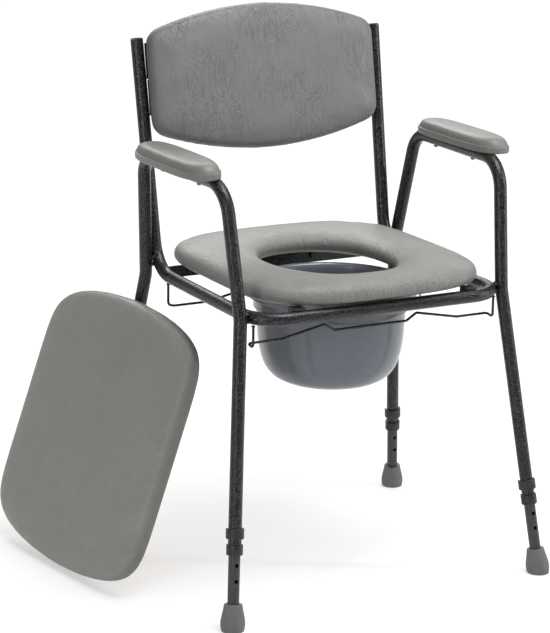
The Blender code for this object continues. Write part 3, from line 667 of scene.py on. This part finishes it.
side_paths = {}
for label, side in (("left", -1), ("right", 1)):
    front, rear = LEGS["front_" + label], LEGS["rear_" + label]
    points = [
        front @ Vector((0, 0, OUTER_END)),
        (side * KINK_X, FRONT_KINK_Y, KINK_Z),
        (side * FRONT_ARM[0], FRONT_ARM[1], ARM_Z),
        (side * REAR_ARM[0], REAR_ARM[1], ARM_Z),
        (side * KINK_X, REAR_KINK_Y, KINK_Z),
        rear @ Vector((0, 0, OUTER_END)),
    ]
    path = fillet(points, (KINK_R, FRONT_ARM_R, REAR_ARM_R, KINK_R))
    side_paths[label] = path
    made = tube("side_tube_" + label, path, TUBE_R, PAINT)
    tools = []
    for leg in (front, rear):
        tools.append(placed(rod(SOCKET_R, OUTER_END - 0.02, BORE_TOP), leg))
        tools.append(placed(rod(HOLE_R, -0.020, -0.004, "Y", (0, 0, PIN_AT), 20), leg))
    settle(cut(made, tools), Matrix(), "frame", "frame_paint", "side_frame_" + label)


def upright_point(side, along):
    """A point on the back upright, at a distance along it from the rail."""
    x = RAIL_REAR[0] + (UPRIGHT_TOP_X - RAIL_REAR[0]) * along / UPRIGHT_LENGTH
    return Vector((side * x, RAIL_REAR[1] + along * sin(RECLINE), RAIL_Z + along * cos(RECLINE)))


seat_path = fillet(
    [
        upright_point(-1, UPRIGHT_LENGTH),
        (-RAIL_REAR[0], RAIL_REAR[1], RAIL_Z),
        (-RAIL_FRONT[0], RAIL_FRONT[1], RAIL_Z),
        (RAIL_FRONT[0], RAIL_FRONT[1], RAIL_Z),
        (RAIL_REAR[0], RAIL_REAR[1], RAIL_Z),
        upright_point(1, UPRIGHT_LENGTH),
    ],
    (RAIL_REAR_R, RAIL_FRONT_R, RAIL_FRONT_R, RAIL_REAR_R),
)
seat_tube = tube("seat_back_tube", seat_path, TUBE_R, PAINT)
settle(seat_tube, Matrix(), "frame", "frame_paint", "seat_back_frame")

for label, side in (("left", -1), ("right", 1)):
    profile = [(0.0, CAP_HEIGHT), (0.007, CAP_HEIGHT * 0.98), (0.0095, CAP_HEIGHT * 0.75)]
    profile += [(0.0107, CAP_HEIGHT * 0.4), (TUBE_R, 0.0002), (TUBE_R, 0.0), (0.0, 0.0)]
    plug = turned("upright_plug_" + label, profile, BLACK_PLASTIC, 40)
    place = Matrix.Translation(upright_point(side, UPRIGHT_LENGTH))
    place = place @ Matrix.Rotation(-RECLINE, 4, "X") @ Matrix.Translation((0, 0, GAP))
    settle(plug, place, "frame", "black_plastic", "upright_cap_" + label)

wire_paths = {}
for label, y in (("front", WIRE_FRONT_Y), ("rear", WIRE_REAR_Y)):
    end_x, end_y, top = WIRE_END_X[label], WIRE_END_Y[label], RAIL_Z - TUBE_R - GAP
    half = [
        (end_x, end_y, top),
        (end_x, end_y, WIRE_FLAT_Z - 0.0035),
        (end_x, y, WIRE_FLAT_Z),
        (WIRE_FLAT_X, y, WIRE_FLAT_Z),
        (WIRE_BUMP_X, y, WIRE_BUMP_Z),
        (WIRE_LOW_X, y, WIRE_LOW_Z),
    ]
    bends = (0.006, 0.006, 0.02, 0.004, 0.004)
    mirrored = [(-x, b, c) for x, b, c in reversed(half)]
    wire_paths[label] = fillet(half + mirrored, bends + bends[::-1], radians(9))
    wire = tube("carrier_wire_" + label, wire_paths[label], WIRE_R, WIRE_PAINT, 5)
    settle(wire, Matrix(), "frame", "frame_paint", "pan_wire_" + label)


# ---------------------------------------------------------------- weld beads
def weld(name, centre, along, size, seed):
    """A small rough bead laid across a joint."""
    bm = bmesh.new()
    bmesh.ops.create_icosphere(bm, subdivisions=3, radius=1.0)
    lengthways = Vector(along).normalized()
    turn_to = lengthways.to_track_quat("X", "Z").to_matrix().to_4x4()
    for vert in bm.verts:
        x, y, z = vert.co
        rough = noise.noise(vert.co * 2.5 + Vector((seed, 0, 0)))
        ripple = 1.0 + 0.10 * sin(x * 16.0 + seed) + 0.10 * rough
        vert.co = Vector((x * size[0], y * size[1] * ripple, z * size[2] * ripple))
    bead = finish_mesh(name, bm, PAINT, 60)
    settle(bead, Matrix.Translation(centre) @ turn_to, "frame", "frame_paint")


def nearest(path_a, path_b, keep):
    """The two points where two paths come closest, among the points that keep allows."""
    best = None
    fine_a = [a.lerp(b, k / 12) for a, b in zip(path_a, path_a[1:]) for k in range(12)]
    fine_b = [a.lerp(b, k / 12) for a, b in zip(path_b, path_b[1:]) for k in range(12)]
    fine_b = [p for p in fine_b if keep(p)]
    for a in fine_a:
        if not keep(a):
            continue
        for b in fine_b:
            gap = (a - b).length_squared
            if best is None or gap < best[0]:
                best = (gap, a, b)
    return best[1], best[2]


seed = 0
for label, side in (("left", -1), ("right", 1)):
    for end in (-1, 1):
        a, b = nearest(
            side_paths[label],
            seat_path,
            lambda p: p.x * side > 0.15 and p.y * end > 0.10 and 0.44 < p.z < 0.54,
        )
        middle = (a + b) / 2
        across = (b - a).normalized()
        for lift in (-1, 1):
            spot = middle + Vector((0, 0, lift * 0.0062)) - across * 0.0003
            along = across.cross(Vector((0, 0, 1)))
            weld("weld_%s_%d" % (label, seed), spot, along, RAIL_WELD, seed)
            seed += 1
    for end in ("front", "rear"):
        top = Vector(wire_paths[end][0])
        spot = Vector((side * abs(top.x), top.y, top.z - 0.0008))
        weld("weld_wire_%s_%s" % (end, label), spot, (0, 1, 0), WIRE_WELD, seed)
        seed += 1
    spot = Vector((side * CROSSBAR_END_X, CROSSBAR_Y, RAIL_Z + 0.002))
    weld("weld_bar_" + label, spot, (0, 0, 1), CROSSBAR_WELD, seed)
    seed += 1


# ---------------------------------------------------------------- telescopic legs
def arc_points(cx, cz, r, a0, a1, count):
    """An arc of a turned profile, from angle a0 to a1 in count steps."""
    angles = [a0 + (a1 - a0) * i / count for i in range(count + 1)]
    return [(cx + r * cos(angle), cz + r * sin(angle)) for angle in angles]


def smooth_pairs(pairs, per):
    """smooth_profile for (radius, height) pairs."""
    return [(p.x, p.y) for p in smooth_profile([(*pair, 0) for pair in pairs], per)]


FOOT_SIDE = [
    (0.0150, 0.0395),
    (0.0157, 0.0360),
    (0.0166, 0.0310),
    (0.0178, 0.0260),
    (0.0188, 0.0210),
    (0.0196, 0.0160),
    (0.0200, 0.0110),
    (0.0197, 0.0060),
    (0.0189, 0.0015),
    (0.0172, -0.0060),
]

for leg, matrix in LEGS.items():
    top = LEG_START + LEG_LENGTH
    profile = [(LEG_BORE_R, top), (LEG_R - 0.0003, top), (LEG_R, top - 0.0003), (LEG_R, LEG_START)]
    profile += [(LEG_BORE_R, LEG_START), (LEG_BORE_R, top)]
    inner = turned("leg_tube_" + leg, profile, LEG_PAINT, 48)
    heights = [PIN_AT + k * HOLE_PITCH for k in range(-3, 3)]
    holes = [rod(HOLE_R, -0.02, 0.02, "Y", (0, 0, height), 24) for height in heights]
    settle(cut(inner, holes), matrix, "leg_" + leg, "leg_paint", "inner_leg_" + leg)

    profile = [(LEG_R + GAP, FOOT_HEIGHT), (0.0136, FOOT_HEIGHT)]
    profile += arc_points(0.0136, FOOT_HEIGHT - ROUNDING, ROUNDING, pi / 2, 0.0, 5)[1:]
    profile += smooth_pairs(FOOT_SIDE, 3)
    profile += [(0.0, -0.008), (0.0, LEG_START - GAP), (LEG_R + GAP, LEG_START - GAP)]
    profile += [(LEG_R + GAP, FOOT_HEIGHT)]
    foot = turned("ferrule_" + leg, profile, FOOT_RUBBER, 64)
    foot.matrix_world = matrix
    cut(foot, [block((2, 2, 0.2), (0, 0, -0.1))])
    settle(foot, matrix, "leg_" + leg, "foot_rubber", "foot_" + leg)

    low = OUTER_END - 0.004
    high = low + BUSH_HEIGHT
    profile = [(TUBE_R + GAP, high), (BUSH_R - 0.0010, high), (BUSH_R - 0.0003, high - 0.0003)]
    profile += [(BUSH_R, high - 0.0010), (BUSH_R, low + 0.0046), (BUSH_R - 0.0005, low + 0.0042)]
    profile += [(BUSH_R - 0.0005, low + 0.0036), (BUSH_R, low + 0.0032), (BUSH_R, low + 0.0010)]
    profile += [(BUSH_R - 0.0003, low + 0.0003), (BUSH_R - 0.0010, low), (LEG_R + GAP, low)]
    profile += [(LEG_R + GAP, OUTER_END - GAP), (TUBE_R + GAP, OUTER_END - GAP)]
    profile += [(TUBE_R + GAP, high)]
    bush = turned("mouth_bush_" + leg, profile, BLACK_PLASTIC, 56)
    settle(bush, matrix, "frame", "black_plastic", "end_bush_" + leg)

    half, mouth = CLIP_HEIGHT / 2, TUBE_R + 0.0004
    profile = [(0.0, half), (CLIP_R - ROUNDING, half)]
    profile += arc_points(CLIP_R - ROUNDING, half - ROUNDING, ROUNDING, pi / 2, 0.0, 5)
    profile += arc_points(CLIP_R - ROUNDING, -half + ROUNDING, ROUNDING, 0.0, -pi / 2, 5)
    profile += [(0.0, -half)]
    clip = turned("snap_clip_" + leg, profile, BLACK_PLASTIC, 64)
    cut(clip, [block((2 * mouth, 0.04, 0.05), (0, 0.02, 0)), rod(mouth, -0.025, 0.025, sides=56)])
    cut(clip, [rod(PIN_R, -CLIP_R + 0.0005, -LEG_R - GAP, "Y", sides=24)], "UNION")
    cut(clip, [rod(0.0048, -0.02, -CLIP_R + 0.0008, "Y", sides=32)])
    place = matrix @ Matrix.Translation((0, 0, PIN_AT))
    settle(clip, place, "clip_" + leg, "black_plastic", "adjustment_clip_" + leg)


# ---------------------------------------------------------------- seat and lid cushions
OUTER_EDGE = [
    (BOARD_INSET, PAD_RECESS),
    (BOARD_INSET, 0.0006),
    (0.0150, 0.0),
    (0.0070, 0.0022),
    (0.0022, 0.0070),
    (0.0010, 0.0150),
    (0.0032, 0.0238),
    (0.0105, 0.0300),
    (0.0240, 0.0328),
    (0.0420, 0.0338),
]
INNER_EDGE = [
    (0.0420, 0.0336),
    (0.0220, 0.0318),
    (0.0080, 0.0262),
    (0.0016, 0.0190),
    (0.0010, 0.0120),
    (0.0040, 0.0045),
    (0.0100, 0.0004),
    (0.0180, 0.0006),
    (0.0180, PAD_RECESS),
]


def stapled(depth):
    """How firmly the vinyl is held at a depth in from the board's side of a pad, 0 to 1."""
    return 1.0 if depth < STAPLED_TO else max(0.0, 1.0 - (depth - STAPLED_TO) / LOOSE_AFTER)


def cushion(name, node, half, shape, rise, opening, place, body, look, cap):
    """An upholstered pad, skinned from its recess over the edge to the middle or opening."""
    a, b = half
    edge = smooth_pairs(OUTER_EDGE, 3)
    rings = [oval(a - inset, b - inset, shape, 0, z * rise) for inset, z in edge]
    if opening:
        c, d = OPENING_HALF
        for inset, z in smooth_pairs(INNER_EDGE, 3):
            rings.append(oval(c + inset, d + inset, OPENING_SHAPE, -PAD_CENTRE[1], z))
    else:
        rings += [oval(a - 0.09, b - 0.09, (2.6, 3.6), 0, PAD_CROWN * rise * 0.965)]
        rings += [oval(a * 0.25, b * 0.25, (2.0, 2.0), 0, PAD_CROWN * rise * 0.975)]
    made = skin(name, rings, look, opening)
    upholster(made, cap, lambda co: stapled(co[2]))
    settle(made, place, body, "grey_vinyl", node)


seat_place = Matrix.Translation((*PAD_CENTRE, PAD_BASE))
lid_place = (
    Matrix.Translation(LID_CENTRE)
    @ Matrix.Rotation(LID_YAW, 4, "Z")
    @ Matrix.Rotation(-(pi / 2 - LID_LEAN), 4, "Y")
    @ Matrix.Rotation(LID_ROLL, 4, "Z")
    @ Matrix.Rotation(pi / 2, 4, "Z")
)
pads = (
    ("seat", PAD_HALF, PAD_SHAPE, 1.0, True, seat_place, SEAT_VINYL, 0.0016),
    ("lid", LID_HALF, LID_SHAPE, LID_HEIGHT, False, lid_place, LID_VINYL, 0.0014),
)
for body, half, shape, rise, opening, place, look_of, cap in pads:
    name, node = body + "_cushion", body + "_pad"
    cushion(name, node, half, shape, rise, opening, place, body, look_of, cap)

# ---------------------------------------------------------------- backrest
back_place = Matrix.Translation((0, RAIL_REAR[1], RAIL_Z)) @ Matrix.Rotation(-RECLINE, 4, "X")


def back_outline(inset):
    """The backrest's outline: two shallow parabolas with rounded corners, brought in by inset."""
    half = BACK_HALF_WIDTH - inset
    count = 33
    points = []
    for (middle, corner), direction in ((BACK_BOTTOM, 1), (BACK_TOP, -1)):
        middle, corner = middle + direction * inset, corner + direction * inset
        for i in range(count):
            t = 2 * i / (count - 1) - 1
            x = BACK_CENTRE_X + direction * half * t
            points.append((x, middle + (corner - middle) * t * t))
    radius = max(BACK_CORNER_R - inset, 0.006)
    corners = {0, count - 1, count, 2 * count - 1}
    ring = []
    total = len(points)
    for i, (x, z) in enumerate(points):
        if i not in corners:
            ring.append((x, z))
            continue
        first, last = (i - 1, i + 3) if i in (0, count) else (i - 3, i + 1)
        trio = [Vector((*points[k % total], 0)) for k in (first, i, last)]
        ring += [(p.x, p.y) for p in fillet(trio, (radius,), radians(8))[1:-1]]
    return ring


def even_ring(ring, depth, count=160):
    """The same closed outline with evenly spaced points, at a depth."""
    points = [Vector((x, depth, z)) for x, z in ring]
    lengths = [(b - a).length for a, b in zip(points, points[1:] + points[:1])]
    total = sum(lengths)
    out = []
    k, run = 0, 0.0
    for i in range(count):
        goal = total * i / count
        while run + lengths[k] < goal:
            run += lengths[k]
            k += 1
        out.append(points[k].lerp(points[(k + 1) % len(points)], (goal - run) / lengths[k]))
    return out


BACK_EDGE = [
    (0.0200, BACK_RECESS),
    (0.0200, 0.0006),
    (0.0120, 0.0),
    (0.0050, 0.0022),
    (0.0014, 0.0070),
    (0.0008, 0.0150),
    (0.0030, 0.0245),
    (0.0100, 0.0305),
    (0.0220, 0.0330),
    (0.0420, 0.0340),
]
edge = smooth_pairs(BACK_EDGE, 3)
rings = [even_ring(back_outline(inset), BACK_FACE - out) for inset, out in edge]
backrest = skin("backrest_cushion", rings, BACK_VINYL, False)
upholster(backrest, 0.0014, lambda co: stapled(BACK_FACE - co[1]))
settle(backrest, back_place, "frame", "dark_vinyl", "backrest_pad")

# ---------------------------------------------------------------- armrests
ARM_EDGE = [
    (0.0022, 0.0022, 0.0),
    (0.0006, 0.0006, 0.0006),
    (0.0, 0.0, 0.0020),
    (0.0, 0.0, 0.0070),
    (0.0, 0.0, 0.0104),
    (0.0003, 0.0003, 0.0109),
    (0.0020, 0.0020, 0.0113),
    (0.0022, 0.0024, 0.0122),
    (0.0028, 0.0040, 0.0152),
    (0.0042, 0.0072, 0.0192),
    (0.0064, 0.0116, 0.0222),
    (0.0092, 0.0168, 0.0241),
    (0.0126, 0.0230, 0.0255),
    (0.0186, 0.0470, 0.0266),
    (0.0262, 0.0850, 0.0271),
    (0.0320, 0.1150, 0.0272),
]
steps = [Vector(a).lerp(Vector(b), k / 3) for a, b in zip(ARM_EDGE, ARM_EDGE[1:]) for k in range(3)]
for label, side in (("left", -1), ("right", 1)):
    width, length = ARM_PAD_HALF
    rings = []
    for in_x, in_y, z in steps + [ARM_EDGE[-1]]:
        rings.append(oval(width - in_x, length - in_y, ARM_PAD_SHAPE, 0, z, 96))
    pad = skin("arm_cushion_" + label, rings, ARM_FOAM, False)
    place = (
        Matrix.Translation((side * ARM_PAD_CENTRE[0], ARM_PAD_CENTRE[1], ARM_PAD_CENTRE[2]))
        @ Matrix.Rotation(-side * ARM_PAD_YAW, 4, "Z")
        @ Matrix.Rotation(side * ARM_PAD_ROLL, 4, "Y")
    )
    pad.matrix_world = place
    path = fillet(
        [
            (side * KINK_X, FRONT_KINK_Y, KINK_Z),
            (side * FRONT_ARM[0], FRONT_ARM[1], ARM_Z),
            (side * REAR_ARM[0], REAR_ARM[1], ARM_Z),
            (side * KINK_X, REAR_KINK_Y, KINK_Z),
        ],
        (FRONT_ARM_R, REAR_ARM_R),
    )
    tools = []
    for drop in (0.0, 0.006):
        lowered = [point - Vector((0, 0, drop)) for point in path]
        tools.append(tube("tool", lowered, TUBE_R + ARM_PAD_LOOSE, ARM_FOAM, 8))
    cut(pad, tools)
    settle(pad, place, "frame", "armrest_pu", "armrest_pad_" + label)

# ---------------------------------------------------------------- pan and bail
pan_place = Matrix.Translation((0, PAN_Y, PAN_RIM_Z)) @ Matrix.Rotation(PAN_TURN, 4, "Z")
shoulder = WIRE_LOW_Z + WIRE_R + GAP - PAN_RIM_Z
PAN_OUTSIDE = [
    (0.1236, -0.0900),
    (0.1205, -0.1130),
    (0.1130, -0.1380),
    (0.1010, -0.1550),
    (0.0860, PAN_FLOOR_Z),
]
PAN_INSIDE = [
    (0.0845, PAN_FLOOR_Z + 0.0032),
    (0.0990, -0.1532),
    (0.1108, -0.1368),
    (0.1183, -0.1125),
    (0.1214, -0.0895),
]
outside = [(PAN_RIM_R - 0.0035, 0.0)]
outside += arc_points(PAN_RIM_R - 0.0035, -0.0035, 0.0035, pi / 2, 0.0, 6)[1:]
outside += [(PAN_RIM_R, -0.0185), (PAN_RIM_R - 0.0005, -0.0190), (PAN_RIM_R - 0.0020, -0.0190)]
outside += [(PAN_RIM_R - 0.0025, -0.0185), (PAN_RIM_R - 0.0030, -0.0060), (0.1345, -0.0060)]
outside += [(0.1325, -0.0070), (0.1316, -0.0095), (0.1315, -0.0120), (0.1315, shoulder + 0.0015)]
outside += [(0.1300, shoulder), (0.1262, shoulder)]
outside += [(0.1256, -0.0500), (0.1248, -0.0700), (0.1236, -0.0900)]
outside += smooth_pairs(PAN_OUTSIDE, 6)[1:]
outside += [(0.0850, PAN_FLOOR_Z), (0.0780, PAN_FLOOR_Z + 0.0012), (0.0, PAN_FLOOR_Z + 0.0012)]
inside = [(0.0, PAN_FLOOR_Z + 0.0034), (0.0800, PAN_FLOOR_Z + 0.0034)]
inside += [(0.0845, PAN_FLOOR_Z + PAN_WALL + 0.001)]
inside += smooth_pairs(PAN_INSIDE, 6)[1:]
inside += [(0.1230, -0.0600), (0.1238, shoulder + 0.0030), (0.1242, shoulder + 0.0036)]
inside += [(0.1285, shoulder + 0.0036), (0.1292, shoulder + 0.0045), (0.1300, -0.0090)]
inside += [(0.1320, -0.0030), (0.1340, -0.0006), (0.1360, 0.0)]
inside += [(PAN_RIM_R - 0.0035, 0.0)]
pan = turned("pan_bowl", outside + inside, PAN_PLASTIC, 144, 30)
ears, bores = [], []
for side in (-1, 1):
    x = side * (PAN_RIM_R + 0.0008)
    ears.append(rod(EAR_R, x - 0.0028, x + 0.0028, "X", (0, 0, EAR_Z), 32))
    bores.append(rod(EAR_BORE_R, x - 0.0060, x + 0.0060, "X", (0, 0, EAR_Z), 20))
cut(pan, ears, "UNION")
cut(pan, bores)
settle(pan, pan_place, "pan", "pan_plastic", "pan")

reach, end = PAN_RIM_R + 0.0030, PAN_RIM_R - 0.0012
half = [Vector((end, 0, 0)), Vector((reach + 0.0030, 0, 0))]
count = 40
for i in range(1, count):
    angle = pi * i / (2 * count)
    half.append(Vector(((reach + 0.0055) * cos(angle) ** 0.92, -BAIL_BOW * sin(angle), 0)))
bow = half + [Vector((0, -BAIL_BOW, 0))] + [Vector((-p.x, p.y, p.z)) for p in reversed(half)]
bail_place = pan_place @ Matrix.Translation((0, 0, EAR_Z)) @ Matrix.Rotation(BAIL_DROP, 4, "X")
bail = tube("bail_wire", bow, BAIL_R, DARK_STEEL, 5)
settle(bail, bail_place, "bail", "dark_steel", "pan_bail")

# ---------------------------------------------------------------- looks of the CAD pieces that stay
for name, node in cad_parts.items():
    look_of = None
    if name.endswith("_board"):
        look_of = BLACK_BOARD if name == "backrest_board" else PLYWOOD
    elif name.startswith(("rear_crossbar", "backrest_bracket")):
        look_of = PAINT
    elif name.startswith("seat_clip"):
        look_of = BLACK_PLASTIC
    elif "screw" in name:
        look_of = DARK_STEEL
    if look_of is not None:
        node.data.materials.clear()
        node.data.materials.append(look_of)

# ---------------------------------------------------------------- floor, backdrop, light
stage_paint = bpy.data.materials.new("stage_paint")
stage_paint.use_nodes = True
stage_shader = stage_paint.node_tree.nodes["Principled BSDF"]
for socket, value in (
    ("Base Color", (0.50, 0.50, 0.50, 1.0)),
    ("Emission Color", (1.0, 1.0, 1.0, 1.0)),
    ("Emission Strength", 0.45),
    ("Roughness", 0.9),
):
    stage_shader.inputs[socket].default_value = value
bm = bmesh.new()
bmesh.ops.create_grid(bm, x_segments=1, y_segments=1, size=12.0)
floor = finish_mesh("floor", bm, stage_paint)
floor.location = (0, 0, -0.0006)

world = bpy.data.worlds.new("studio")
bpy.context.scene.world = world
world.use_nodes = True
sky = world.node_tree.nodes["Background"]
sky.inputs["Color"].default_value = (1.0, 1.0, 1.0, 1.0)
sky.inputs["Strength"].default_value = 0.40


def softbox(name, place, target, size, power):
    """A rectangular lamp at place that faces target."""
    data = bpy.data.lights.new(name, "AREA")
    data.shape = "RECTANGLE"
    data.size, data.size_y = size
    data.energy = power
    lamp = bpy.data.objects.new(name, data)
    bpy.context.scene.collection.objects.link(lamp)
    aim = (Vector(target) - Vector(place)).to_track_quat("-Z", "Y")
    lamp.matrix_world = Matrix.Translation(place) @ aim.to_matrix().to_4x4()


softbox("key", (0.5, -0.7, 3.0), (0.0, 0.0, 0.45), (1.6, 1.6), 76)
softbox("left_strip", (-2.3, -1.5, 1.2), (-0.1, 0.0, 0.45), (0.10, 1.9), 17)
softbox("right_strip", (2.2, -1.3, 1.3), (0.1, 0.0, 0.45), (0.12, 1.9), 24)
softbox("rim", (0.5, 2.3, 2.3), (0.0, 0.0, 0.5), (1.8, 0.7), 22)
softbox("backdrop", (2.6, 5.4, 3.4), (2.6, 5.4, 0.0), (7.0, 6.0), 240)
bpy.context.scene.view_settings.view_transform = "Standard"

bpy.context.view_layer.update()
